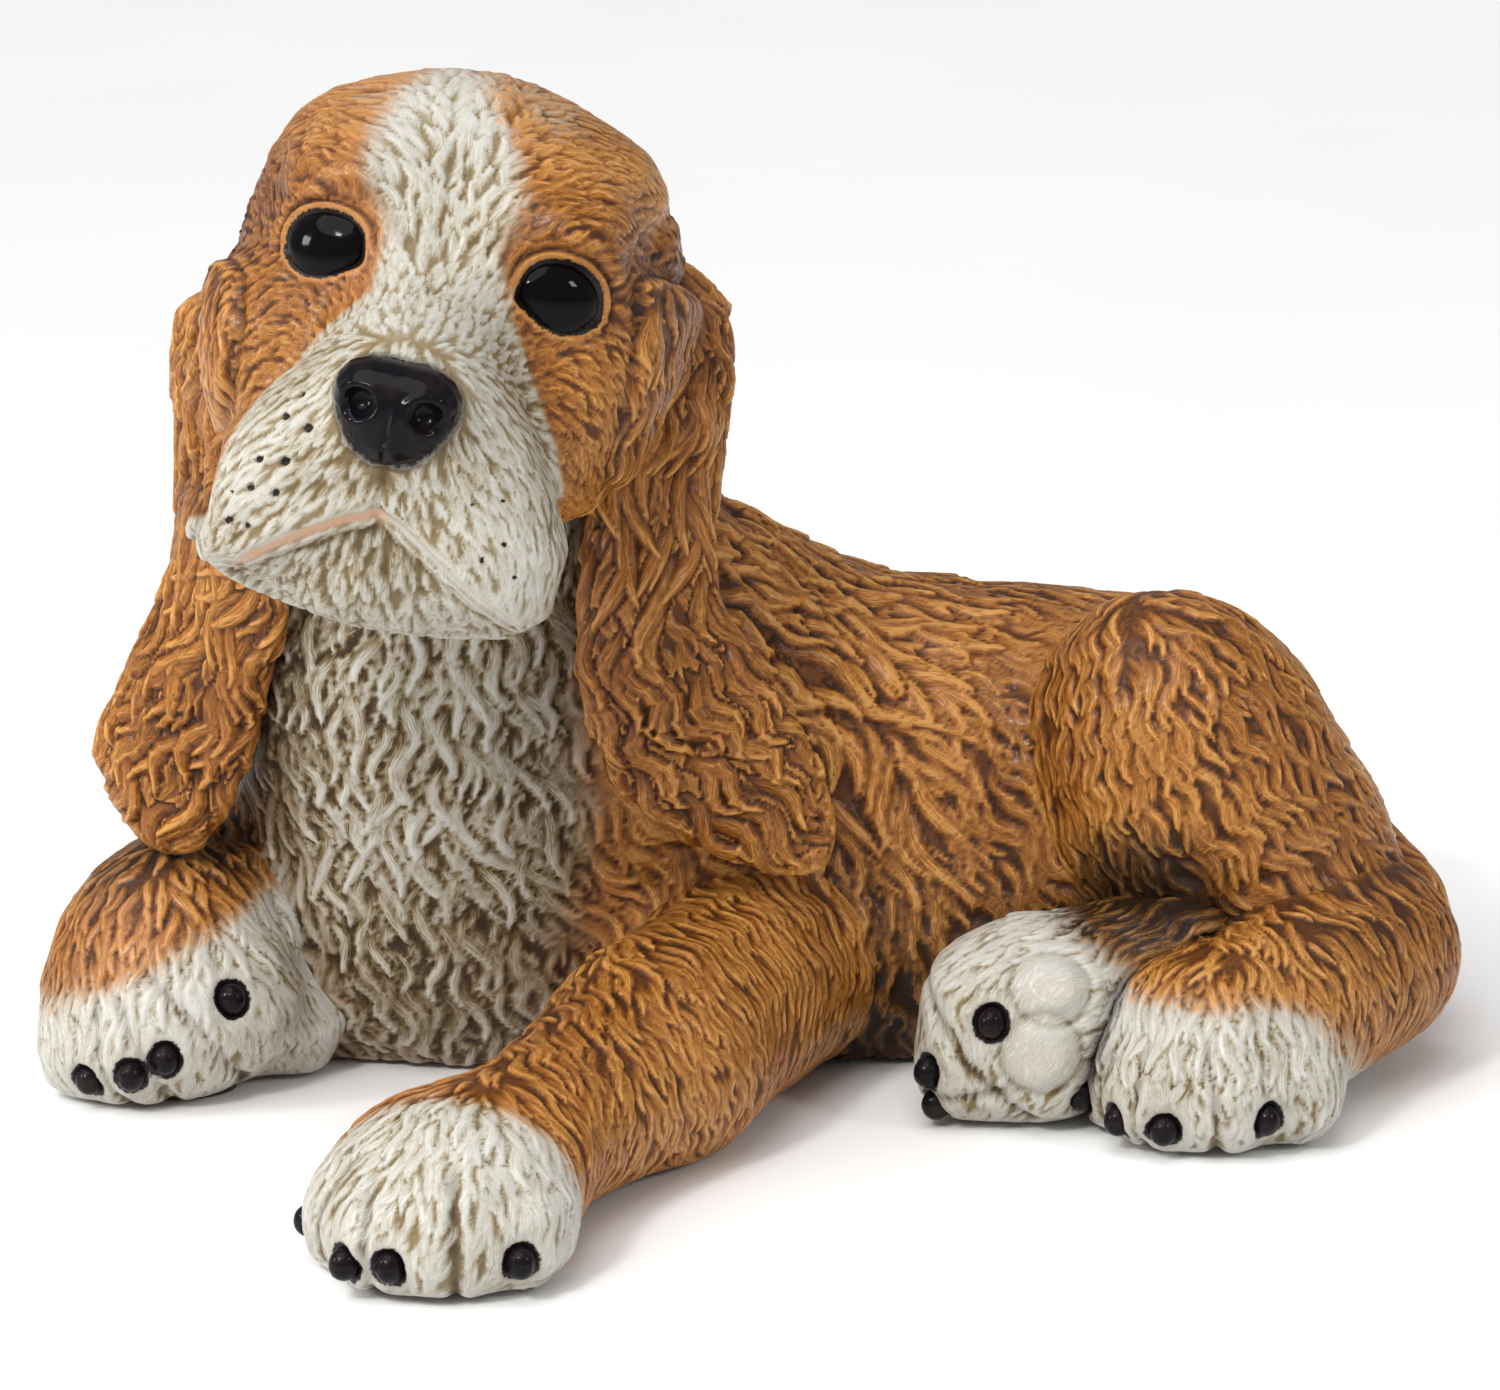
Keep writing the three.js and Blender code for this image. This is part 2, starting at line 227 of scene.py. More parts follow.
def slimness(t):
    """Width of a lock along its run, as a share of the widest: it swells early and ends in a point."""
    return np.minimum(1, 0.5 + 1.3 * t) * (1 - 0.7 * ramp(t, 0.55, 1.0))


class Casting:
    """A closed skin whose points are moved by modelled strokes and painted by masks."""

    def __init__(self, name, nodes, voxel, turns=8, plugs=(), slot="body_glaze"):
        self.obj = skin(name, nodes, voxel, turns, plugs)
        self.at, self.quads, self.edges = read(self.obj.data)
        self.out = facing(self.at, self.quads)
        self.node = nodes[0]
        self.slot = slot
        self.low, self.high = box(nodes[0])
        n = len(self.at)
        self.lift = np.zeros(n)  # height of the highest lock at each point, in mm
        self.full = np.full(n, 0.6)  # height of that lock's crest, in mm
        self.lock = np.zeros((n, 3))  # place across and along the lock, and a number of its own
        self.tint = np.full(n, 0.5)
        # paint masks: cream, dark paint that is partly painted shade, pink, and black
        self.paint = {k: np.zeros(n) for k in ("white", "grime_and_shade", "warm", "ink")}
        self.calm = np.ones(n)  # 1 where locks may stand, 0 where the skin stays plain
        self.depth = 0.8  # depth of a hollow that takes the whole wash, in mm
        self.wash = np.full(n, 0.24)  # wash that stays on the crests
        self.tree = None

    def within(self, share):
        return self.low + np.array(share) * (self.high - self.low)

    def move(self, amount):
        self.at = self.at + self.out * amount[:, None]
        self.out = facing(self.at, self.quads)
        self.tree = None

    def nearest(self):
        if self.tree is None:
            self.tree = KDTree(len(self.at))
            for i, p in enumerate(self.at):
                self.tree.insert(p, i)
            self.tree.balance()
        return self.tree

    def strokes(self, where, flow, length, width, height, sway=25, wave=11.0, overlap=3.0,
                seed=1, lines=0.0, edge=0.6, lean=0.25, stray=0.5):
        """Tapering locks that grow from even-spread roots along flow, each over the one before."""
        rng = np.random.default_rng(seed)
        tree = self.nearest()
        roots = rng.permutation(np.nonzero(rng.random(len(self.at)) < where)[0])
        if not len(roots):
            return
        cell = math.sqrt(1.5 * length * width / overlap)
        keys = np.floor((self.at[roots] + rng.random(3) * cell) / cell).astype(int)
        _, first = np.unique(keys, axis=0, return_index=True)
        roots = roots[first]
        n = len(roots)
        size = rng.uniform(0.8, 1.2, n)
        long = length * size * rng.uniform(0.85, 1.15, n)
        wide = width * size / 2
        tall = height * rng.uniform(0.6, 1.1, n)
        phase = rng.normal(0, stray, n)
        turn = np.radians(sway) * rng.uniform(0.6, 1.2, n)
        side = rng.choice([-lean, lean], n)
        steps = max(5, int(round(length / (width * 0.45))))
        spot, normal = self.at[roots], self.out[roots]
        head = unit(flow(spot))
        samples = []
        for k in range(steps):
            t = k / (steps - 1)
            way = flow(spot)
            way = unit(way - normal * (way * normal).sum(1, keepdims=True))
            along = (spot * head).sum(1) * 2 * math.pi / wave
            angle = turn * np.sin(phase + along + drift(spot))
            way = (way * np.cos(angle)[:, None]
                   + np.cross(normal, way) * np.sin(angle)[:, None])
            samples.append((spot, way, normal, t))
            spot = spot + way * (long / (steps - 1))[:, None]
            found = [tree.find(p)[1] for p in spot]
            base, normal = self.at[found], self.out[found]
            spot = spot - normal * ((spot - base) * normal).sum(1, keepdims=True)
        who, centre, along, which, when = [], [], [], [], []
        gap = long / (steps - 1)
        for spot, way, normal, t in samples:
            slim = slimness(t)
            for s in range(n):
                reach = wide[s] * slim + 0.6 * gap[s]
                hits = tree.find_range(spot[s], reach)
                who.extend([h[1] for h in hits])
                which.extend([s] * len(hits))
            count = len(who) - sum(map(len, centre))
            part = np.array(which[-count:]) if count else np.zeros(0, int)
            centre.append(spot[part])
            along.append(way[part])
            when.append(np.full(count, t))
        who, which = np.array(who), np.array(which)
        centre, along, when = np.concatenate(centre), np.concatenate(along), np.concatenate(when)
        off = self.at[who] - centre
        up = self.out[who]
        ahead = (off * along).sum(1)
        across = (off * unit(np.cross(up, along))).sum(1)
        t = np.clip(when + ahead / long[which], 0, 1)
        u = across / (wide[which] * slimness(t))
        shifted = np.where(np.sign(u) == np.sign(side[which]),
                           (u - side[which]) / (1 - abs(side[which])),
                           (u - side[which]) / (1 + abs(side[which])))
        crest = np.clip(1 - shifted**2, 0, 1) ** edge
        rise = ramp(t, -0.1, 0.4) * (0.55 + 0.45 * t) * (1 - ramp(t, 0.86, 1.04))
        value = tall[which] * crest * rise
        if lines:
            value = value + 0.16 * crest * rise * np.cos(2 * math.pi * across / lines)
        good = (abs(u) < 1) & (abs(ahead) < 0.62 * gap[which])
        who, which, value, across, t = (x[good] for x in (who, which, value, across, t))
        value = value * self.calm[who]
        np.maximum.at(self.lift, who, value)
        won = value >= self.lift[who] - 1e-9
        who, which = who[won], which[won]
        self.full[who] = np.maximum(tall[which], 0.2)
        self.lock[who] = np.stack([across[won], t[won] * long[which],
                                   rng.uniform(0, 90, n)[which]], 1)
        self.tint[who] = rng.uniform(0, 1, n)[which]

    def raise_strokes(self, sink=0.4):
        """Turns the strokes into relief. The coat's mean height stays at the casting's surface."""
        self.groove = 1 - np.clip(self.lift / self.full, 0, 1)
        self.move(self.lift - sink * self.full * self.calm)
        self.at = self.at + 0.35 * (averaged(self.at, self.edges) - self.at)
        self.at[:, 2] = np.maximum(self.at[:, 2], FOOT)
        self.out = facing(self.at, self.quads)
        even = self.at
        for _ in range(4):
            even = even + 0.6 * (averaged(even, self.edges) - even)
        hollow = ((even - self.at) * self.out).sum(1)
        groove = np.clip(0.45 * self.groove + self.wash + hollow / self.depth, 0, 1)
        self.groove = groove * self.calm + CALM_GROOVE * (1 - self.calm)

    def finish(self, material):
        mesh = self.obj.data
        write(mesh, self.at)
        for name, values in {"groove": self.groove, "tint": self.tint, **self.paint}.items():
            layer = mesh.attributes.new(name, "FLOAT", "POINT")
            layer.data.foreach_set("value", values.astype(np.float32))
        layer = mesh.attributes.new("lock", "FLOAT_VECTOR", "POINT")
        layer.data.foreach_set("vector", self.lock.astype(np.float32).ravel())
        mesh.materials.clear()
        mesh.materials.append(material)
        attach(self.obj, "root")
        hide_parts(self.node)


def drift(points):
    """A slow swing in the waves of the coat, so that neighbouring locks bend together."""
    x, y, z = points.T
    return 2.2 * np.sin(x / 13 + 0.7) + 1.9 * np.sin(y / 16 + z / 19) + 1.6 * np.sin(z / 11 + 2.0)


def guided(casting, guides, soft=6.0):
    """A flow of hair: each guide is a place, as shares of the casting's box, and a heading."""
    places = np.array([casting.within(place) for place, _ in guides])
    headings = unit(np.array([heading for _, heading in guides], float))

    def flow(points):
        gap = ((points[:, None] - places[None]) ** 2).sum(2)
        weight = 1 / (gap + soft**2) ** 2
        return weight @ headings

    return flow


# ---------------------------------------------------------------- paint

def shade(tree, name, kind, inputs=None, **facts):
    node = tree.nodes.new(kind)
    node.label = name
    for key, value in facts.items():
        setattr(node, key, value)
    for key, value in (inputs or {}).items():
        if isinstance(value, bpy.types.NodeSocket):
            tree.links.new(value, node.inputs[key])
        else:
            node.inputs[key].default_value = value
    return node


def srgb(red, green, blue):
    def linear(c):
        c /= 255
        return c / 12.92 if c <= 0.04045 else ((c + 0.055) / 1.055) ** 2.4
    return (linear(red), linear(green), linear(blue), 1)


class Paint:
    """Short ways to write a node tree."""

    def __init__(self, name, **surface):
        self.material = bpy.data.materials.new(name)
        self.material.use_nodes = True
        self.tree = self.material.node_tree
        self.surface = self.tree.nodes["Principled BSDF"]
        for key, value in surface.items():
            self.surface.inputs[key.replace("_", " ")].default_value = value

    def attribute(self, name, output="Fac"):
        return shade(self.tree, name, "ShaderNodeAttribute", attribute_name=name).outputs[output]

    def noise(self, scale, detail=3.0, vector=None, rough=0.55):
        if vector is None:
            vector = shade(self.tree, "place", "ShaderNodeTexCoord").outputs["Object"]
        return shade(self.tree, "noise", "ShaderNodeTexNoise",
                     {"Vector": vector, "Scale": scale, "Detail": detail, "Roughness": rough}
                     ).outputs["Fac"]

    def math(self, operation, a, b=0.0, c=0.0):
        return shade(self.tree, operation, "ShaderNodeMath", {0: a, 1: b, 2: c},
                     operation=operation).outputs[0]

    def level(self, value, low, high, to_low=0.0, to_high=1.0):
        return shade(self.tree, "level", "ShaderNodeMapRange",
                     {"Value": value, "From Min": low, "From Max": high,
                      "To Min": to_low, "To Max": to_high},
                     interpolation_type="SMOOTHSTEP").outputs["Result"]

    def colours(self, factor, *stops):
        node = shade(self.tree, "colours", "ShaderNodeValToRGB", {"Fac": factor})
        bands = node.color_ramp.elements
        while len(bands) < len(stops):
            bands.new(0.5)
        for element, (place, colour) in zip(bands, stops):
            element.position = place
            element.color = colour
        return node.outputs["Color"]

    def mix(self, factor, a, b, blend="MIX"):
        node = shade(self.tree, "mix", "ShaderNodeMix", data_type="RGBA", blend_type=blend)
        for socket, value in zip((node.inputs[0], node.inputs[6], node.inputs[7]), (factor, a, b)):
            if isinstance(value, bpy.types.NodeSocket):
                self.tree.links.new(value, socket)
            else:
                socket.default_value = value
        return node.outputs[2]

    def set(self, socket, value):
        self.tree.links.new(value, self.surface.inputs[socket])

    def relief(self, height, strength, distance):
        node = shade(self.tree, "relief", "ShaderNodeBump",
                     {"Height": height, "Strength": strength, "Distance": distance})
        self.set("Normal", node.outputs["Normal"])


def coat_paint(name, hair_bump):
    """Ginger and cream paint, washed dark in the grooves and dry-brushed on the crests, with painted
    shade mixed in as dark brown.
    """
    p = Paint(name, Roughness=0.42, Coat_Weight=0.1, Coat_Roughness=0.16, Specular_IOR_Level=0.24)
    stretch = shade(p.tree, "stretch", "ShaderNodeVectorMath",
                    {0: p.attribute("lock", "Vector"), 1: (3.4, 0.3, 1.0)}, operation="MULTIPLY")
    hair = p.noise(1.0, 2.0, stretch.outputs["Vector"])
    cloud = p.noise(38.0, 3.0)
    speck = p.noise(900.0, 2.0)
    depth = p.math("ADD", p.attribute("groove"), p.level(hair, 0.3, 0.7, -0.16, 0.16))
    depth = p.math("ADD", depth, p.level(cloud, 0.3, 0.7, -0.1, 0.1))
    ginger = p.colours(depth,
                       (0.06, srgb(198, 144, 78)), (0.26, srgb(160, 105, 42)),
                       (0.48, srgb(122, 72, 20)), (0.72, srgb(80, 42, 10)),
                       (1.0, srgb(36, 17, 4)))
    cream = p.colours(depth,
                      (0.10, srgb(196, 194, 187)), (0.40, srgb(174, 168, 153)),
                      (0.62, srgb(134, 117, 84)), (0.82, srgb(86, 66, 35)),
                      (1.0, srgb(50, 34, 15)))
    tone = p.level(p.attribute("tint"), 0.0, 1.0, 0.0, 1.0)
    ginger = p.mix(p.math("MULTIPLY", tone, 0.35), ginger,
                   p.colours(depth, (0.1, srgb(182, 120, 58)), (0.5, srgb(126, 70, 24)),
                             (1.0, srgb(48, 22, 6))))
    rosy = p.level(p.noise(21.0, 2.0), 0.52, 0.72, 0.0, 0.4)
    ginger = p.mix(rosy, ginger, p.colours(depth, (0.2, srgb(170, 116, 76)),
                                           (0.9, srgb(74, 38, 18))))
    edge = p.math("ADD", p.attribute("white"), p.level(hair, 0.3, 0.7, -0.22, 0.22))
    edge = p.math("ADD", edge, p.level(cloud, 0.35, 0.65, -0.1, 0.1))
    colour = p.mix(p.level(edge, 0.3, 0.72), ginger, cream)
    # painted shade in crevices, creases and under the body, partly darker paint: mixed in as dark brown
    grime_and_shade = p.math("MULTIPLY", p.attribute("grime_and_shade"), p.level(depth, -0.1, 0.9, 0.55, 1.0))
    colour = p.mix(p.level(grime_and_shade, 0.05, 0.85), colour, srgb(36, 21, 9))
    colour = p.mix(p.level(p.attribute("warm"), 0.1, 0.9, 0.0, 0.8), colour, srgb(206, 158, 122))
    ink = p.math("ADD", p.attribute("ink"), p.level(speck, 0.3, 0.7, -0.15, 0.15))
    colour = p.mix(p.level(ink, 0.35, 0.75), colour, srgb(20, 14, 12))
    p.set("Base Color", colour)
    p.set("Roughness", p.level(p.math("ADD", p.math("MULTIPLY", depth, 0.6), speck), 0.3, 1.3,
                               0.28, 0.62))
    p.relief(hair, hair_bump, 0.0004)
    return p.material


def glaze(name, dark, worn, rough=0.08):
    """Black glaze, thin and brownish in patches of wear spread by noise."""
    p = Paint(name, Specular_IOR_Level=0.1)
    cloud = p.noise(160.0, 3.0)
    p.set("Base Color", p.mix(p.level(cloud, 0.45, 0.8, 0.0, 0.5), dark, worn))
    p.set("Roughness", p.level(cloud, 0.3, 0.8, rough, rough + 0.1))
    p.relief(p.noise(420.0, 2.0), 0.05, 0.0002)
    return p.material


def felt_paint():
    p = Paint("felt", Roughness=0.95)
    cloud = p.noise(900.0, 4.0)
    p.set("Base Color", p.colours(cloud, (0.3, srgb(38, 46, 34)), (0.7, srgb(66, 76, 56))))
    p.relief(p.noise(2600.0, 3.0), 0.5, 0.0004)
    return p.material


# ---------------------------------------------------------------- the castings

NECK = ((-59, 18, 128), 13)  # closes the vent between torso and head
POUR = ((19, 48, 9), 14)  # closes the pour hole

CLAWS = sorted(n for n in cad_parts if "_claw_" in n)
CASTINGS = ["torso", "head", "left_ear", "right_ear", "left_foreleg", "right_foreleg",
            "left_haunch", "left_hind_foot", "right_hind_foot", "tail"]
FILLETS = {frozenset(pair): size for pair, size in (
    (("torso", "left_haunch"), 14), (("torso", "left_foreleg"), 10), (("torso", "right_foreleg"), 9),
    (("left_haunch", "left_hind_foot"), 8), (("torso", "tail"), 8), (("head", "left_ear"), 7),
    (("head", "right_ear"), 7), (("torso", "right_hind_foot"), 6), (("torso", "left_hind_foot"), 5),
    (("left_haunch", "tail"), 6), (("torso", "head"), 6))}


def settle(casting):
    """Closes the joints with fillets, and paints shade into the crevices between castings."""
    nearest = np.full(len(casting.at), JOINT_REACH)
    swell = np.zeros(len(casting.at))
    for other in CASTINGS:
        if other == casting.node:
            continue
        size = FILLETS.get(frozenset((casting.node, other)), 1.5)
        gap = clearance(casting.at, other, max(size, JOINT_REACH))
        open_gap = np.clip(gap, 0, size)
        swell = np.maximum(swell, (size - open_gap) ** 2 / (4 * size))
        eased = 2.0 if size > 5 else 0.0  # a wide fillet holds less painted shade
        nearest = np.minimum(nearest, np.clip(gap, 0, JOINT_REACH) + eased)
    casting.move(np.maximum(swell, 0.25))
    # painted shade near the other castings
    casting.paint["grime_and_shade"] = np.maximum(casting.paint["grime_and_shade"], 0.85 * (1 - ramp(nearest, 0.5, 6.0)))


def shadow(casting, centre, radius, strength):
    """A painted shadow: a deep dark place painted into the wash."""
    far = np.linalg.norm(casting.at - np.array(centre), axis=1)
    dark = strength * (1 - ramp(far, 0.35 * radius, radius))
    casting.paint["grime_and_shade"] = np.maximum(casting.paint["grime_and_shade"], dark)


def model_toes(casting):
    """A rounded toe behind each claw, and a furrow between neighbours with painted shade in it."""
    middles = [sum(box(claw)) / 2 for claw in CLAWS if claw.startswith(casting.node)]
    if not middles:
        return
    heart = sum(middles) / len(middles)
    whole = (casting.low + casting.high) / 2
    heart = heart + 13 * unit(whole - heart) + np.array((0, 0, 4))
    push = np.zeros(len(casting.at))
    for spot in middles:
        back = unit(heart - spot)
        run = (casting.at - spot) @ back
        off = np.linalg.norm(casting.at - spot - np.clip(run, 0, 9)[:, None] * back, axis=1)
        push += 1.1 * bump(off, 5.0)
    for one, two in zip(middles[:-1], middles[1:]):
        spot = (one + two) / 2
        back = unit(heart - spot)
        run = (casting.at - spot) @ back
        side = unit(two - one)
        off = abs((casting.at - spot) @ side)
        along = ramp(run, -8, -2) * (1 - ramp(run, 7, 15))
        furrow = bump(off, 1.5) * along * (np.linalg.norm(casting.at - spot, axis=1) < 22)
        push -= 1.0 * furrow
        # painted shade in the furrow
        casting.paint["grime_and_shade"] = np.maximum(casting.paint["grime_and_shade"], 0.5 * furrow)
    casting.move(push)


SOLE = ((0.40, 0.08, 0.76), (0.37, 0.02, 0.42))  # the two pads of the upturned foot


def model_sole(casting):
    push = np.zeros(len(casting.at))
    for place in SOLE:
        off = np.linalg.norm(casting.at - casting.within(place), axis=1)
        push += 1.2 * (1 - ramp(off, 3.5, 7.5)) - 0.6 * bump(off - 8.2, 0.9)
        casting.calm = np.minimum(casting.calm, 0.12 + 0.88 * ramp(off, 6, 9))
        casting.paint["warm"] = np.maximum(casting.paint["warm"], 0.22 * (1 - ramp(off, 2, 7)))
        # painted shade in the groove round each pad
        casting.paint["grime_and_shade"] = np.maximum(casting.paint["grime_and_shade"], 0.4 * bump(off - 8.2, 1.0))
    casting.move(push)


def clear_claws(casting):
    """Leaves room for the claws, and brushes dark paint around each."""
    for claw in CLAWS:
        if not claw.startswith(casting.node):
            continue
        gap = clearance(casting.at, claw, 6.0)
        casting.calm = np.minimum(casting.calm, ramp(gap, 0.5, 3.5) * 0.85 + 0.15)
        casting.at = casting.at - casting.out * (0.5 * (1 - ramp(gap, 0.2, 2.0)))[:, None]
        casting.paint["ink"] = np.maximum(casting.paint["ink"], 1 - ramp(gap, 0.3, 1.8))
    casting.out = facing(casting.at, casting.quads)
    casting.tree = None


# Head. Its own frame: x to the dog's left, y to the back of the head, z up, from the skull's centre.
HEAD_TURN = (-16, 12.5, -4)  # degrees about x, y and z
EYE_AT = (21.6, -36, 3)
EYE_LINE = (0, -35.2, 3)  # the middle between the two cabochons
HALF_EYE = (8.3, 7.0)
TO_HEAD = np.array(Euler([math.radians(a) for a in HEAD_TURN], "XYZ").to_matrix())
eye_middles = [sum(box(f"{side}_eye")) / 2 for side in ("left", "right")]
head_centre = (eye_middles[0] + eye_middles[1]) / 2 - TO_HEAD @ np.array(EYE_LINE)

# The mouth, the whisker pits, the blaze and the ears' roots are measured points, not worked out.
NOSTRIL_AT = (6.3, -25.3)
NOSTRIL = 3.6  # radius
MOUTH = np.array([(-29, -58.6), (-22, -57.5), (-18, -54.4), (-12, -50.3), (-5.4, -46.1),
                  (0.5, -43.6), (3.9, -44.5), (9.7, -48), (16, -52), (22, -55.2), (28, -57.6)])
PITS = [(-19.7, -30, 0.9), (-15, -31.2, 1.0), (-22.4, -38.6, 0.8), (-17.6, -38, 1.0),
        (-18, -44, 0.9), (-22.8, -44, 0.7), (-25.6, -50.7, 0.8), (-21.8, -50.8, 0.7),
        (-26, -45.5, 0.5), (-17.5, -25.5, 0.6), (24, -43.7, 0.6), (20.6, -47.3, 0.6),
        (27, -49, 0.6), (17, -38, 0.5), (22, -36, 0.5)]


def local(points):
    return (points - head_centre) @ TO_HEAD


def from_line(x, z, line):
    """Distance to a broken line in the face plane, positive above it."""
    best = np.full(len(x), 99.0)
    sign = np.ones(len(x))
    for (ax, az), (bx, bz) in zip(line[:-1], line[1:]):
        dx, dz = bx - ax, bz - az
        t = np.clip(((x - ax) * dx + (z - az) * dz) / (dx * dx + dz * dz), 0, 1)
        ox, oz = x - ax - t * dx, z - az - t * dz
        far = np.hypot(ox, oz)
        closer = far < best
        best = np.where(closer, far, best)
        sign = np.where(closer, np.sign(dx * oz - dz * ox), sign)
    return best * sign


def eye_frame(sign):
    turn = Euler([math.radians(a) for a in (3, 8 * sign, 22 * sign)], "XYZ").to_matrix()
    return np.array(turn), np.array((sign * EYE_AT[0], EYE_AT[1], EYE_AT[2]))


def model_head(c):
    q = local(c.at)
    x, y, z = q.T
    way = c.out @ TO_HEAD
    front = ramp(-way[:, 1], -0.2, 0.2) * ramp(-y, 20, 30)
    push = np.zeros(len(x))
    # the mouth: a crease under overhanging lips, and a chin set back behind them
    s = from_line(x, z, MOUTH)
    span = 1 - ramp(abs(x), 27, 31)
    mouth = front * span
    push += mouth * (-1.2 * bump(s + 0.2, 0.9) + 1.1 * bump(s - 2.6, 2.0))
    c.calm = np.where(mouth > 0.3, np.minimum(c.calm, ramp(abs(s - 0.2), 0.3, 1.2)), c.calm)
    push += mouth * -2.4 * ramp(-s, 0.5, 3.0) * (1 - ramp(-s, 6, 14))
    fading = (1 - 0.85 * ramp(x, -1, 7)) * (1 - ramp(abs(x), 20, 27))
    c.paint["warm"] = 0.85 * mouth * bump(s - 0.1, 1.2) * fading
    # painted shade along the crease under the lips
    c.paint["grime_and_shade"] = np.maximum(c.paint["grime_and_shade"], 0.3 * mouth * bump(s + 0.9, 0.7))
    # the temples are flat, and each ear's root overlaps the side of the head below them
    push += -3.6 * ramp(-x, 27, 41) * ramp(z, -6, 2) * (1 - ramp(z, 10, 42))
    push += -4.6 * ramp(x, 26, 42) * ramp(z, 9, 15) * (1 - ramp(z, 20, 48))
    ear_edge = np.where(x > 0, np.interp(z, (-45, -23, -12, 1, 13), (36, 39, 39, 37.5, 35)),
                        np.interp(z, (-44, -29, -16, -4), (33, 34.5, 35, 38)))
    top = np.where(x > 0, 9, -6)
    root = (abs(x) - ear_edge) * (1 - ramp(z, top, top + 8)) - 9 * ramp(z, top, top + 8)
    c.ear = ramp(root, -0.5, 1.5)
    push += 1.3 * c.ear - 0.7 * bump(root + 0.6, 1.2)
    # painted shade along each ear's root
    c.paint["grime_and_shade"] = np.maximum(c.paint["grime_and_shade"], 0.45 * bump(root + 0.6, 1.6))
    # the far jowl lies close under its ear
    push += -4.0 * ramp(-x, 29.5, 33) * ramp(-y, 30, 40) * bump(z + 45, 8)
    # a shallow furrow below the nose, and the stop between the brows
    push += -0.8 * front * bump(x - 0.4, 1.2) * ramp(z, -45, -42) * (1 - ramp(z, -36, -33))
    push += -1.2 * bump(x, 4.5) * bump(z - 8, 11) * ramp(-y, 25, 35)
    # eyes: the skin drops behind the glass, and a lid stands round it
    for sign in (-1, 1):
        turn, centre = eye_frame(sign)
        e = (q - centre) @ turn
        ex, ez = e[:, 0], e[:, 2]
        close = (abs(e[:, 1]) < 9) & (y < -15)
        outer = sign * ex
        upper_half = HALF_EYE[1] - (0.8 if sign < 0 else 0.1)
        half = np.where(ez > 0, upper_half, HALF_EYE[1] * (0.86 + 0.05 * np.clip(outer / 8, -1, 1)))
        rho = np.hypot(ex / HALF_EYE[0], ez / half)
        rho = rho - 0.16 * bump(outer + 8.6, 2.4) * bump(ez + 3.6, 2.2)
        rho = rho - 0.12 * bump(outer - 8.6, 1.8) * bump(ez + 1.4, 1.6)
        edge = (rho - 1) * 7.6
        upper = ramp(ez, -3, 3)
        lid = (0.5 + 0.8 * upper) * bump(edge - 1.1, 0.75) + 1.3 * bump(edge - 4.2, 2.0) * upper
        fold = -0.6 * bump(edge - 2.2, 0.45) * upper
        push += close * (lid + fold - 1.6 * (1 - ramp(edge, -1.4, 0.5)))
        push += 2.4 * bump(outer + 2, 8) * bump(ez - 13, 3.4) * ramp(-y, 8, 22)
        c.calm = np.where(close, np.minimum(c.calm, ramp(edge, 0.8, 1.4 + 1.2 * upper)), c.calm)
        c.paint["ink"] = np.maximum(c.paint["ink"], close * (1 - ramp(edge, 0.1, 0.7)))
        # painted shade in the fold above each eye
        c.paint["grime_and_shade"] = np.maximum(c.paint["grime_and_shade"], close * 0.4 * bump(edge - 2.2, 0.4) * upper)
        c.paint["rim"] = np.maximum(c.paint.get("rim", 0), close * bump(edge - 1.2, 1.5) * upper)
    # the skin lies just under the set-in nose, and painted shade gathers round it
    gap = clearance(c.at, "nose", 6.0)
    under = (np.hypot(abs(x) - NOSTRIL_AT[0], z - NOSTRIL_AT[1]) < NOSTRIL) & (y < -50)
    push += np.where(under, -2.6, -0.8 * (1 - ramp(gap, 0.1, 0.5)))
    c.paint["ink"] = np.maximum(c.paint["ink"], under)
    c.calm = np.minimum(c.calm, 0.2 + 0.8 * ramp(gap, 0.2, 1.2))
    # painted shade round the nose
    c.paint["grime_and_shade"] = np.maximum(c.paint["grime_and_shade"], 0.8 * (1 - ramp(gap, 0.3, 2.0)))
    c.paint["ink"] = np.maximum(c.paint["ink"], 0.8 * (1 - ramp(gap, 0.2, 0.8)))
    for px, pz, size in PITS:
        far = np.hypot(x - px, z - pz)
        hole = front * (1 - ramp(far, 0.4 * size, 1.3 * size))
        push += -0.9 * size * hole
        c.paint["ink"] = np.maximum(c.paint["ink"], hole)
    c.move(push)
    # cream: muzzle, chin and blaze, with a fading crown; ginger elsewhere
    reach = np.interp(z, (-60, -44, -33, -23, -13, -4, 8, 12, 18, 26, 35, 44),
                      (40, 35, 30, 25.5, 20, 13.3, 11, 12.5, 15.5, 14.5, 11, 9))
    lean = np.interp(z, (-60, -44, -33, -13, -4, 8, 18, 26, 35, 44),
                     (2, 3, 2, 0.8, 2, -0.7, -3.8, -5.5, -7, -8))
    soft = np.interp(z, (-10, 5, 20, 40), (2, 4, 7, 10))
    blaze = 1 - ramp((abs(x - lean) - reach) / soft, -1, 1)
    deep = np.interp(z, (-60, -40, -25, -10, 5), (-8, -22, -30, -36, -10))
    cream = blaze * ramp(deep - y, -3, 3)
    cream = np.where(z > 5, blaze * (1 - 0.3 * ramp(z, 30, 44)) * ramp(-y, -12, 10), cream)
    throat = (1 - ramp(z, -40, -34)) * (1 - ramp(y, -8, 4)) * (1 - ramp(abs(x - 2), 31, 34))
    jowl = ramp(-x, 28.5, 31) * ramp(z, -54, -49)
    crown = 0.36 * ramp(z, 18, 32) * ramp(-y, -20, 5) * (1 - 0.75 * ramp(abs(x + 5), 16, 30))
    c.paint["white"] = np.maximum(np.maximum(cream, throat) * (1 - jowl), crown)
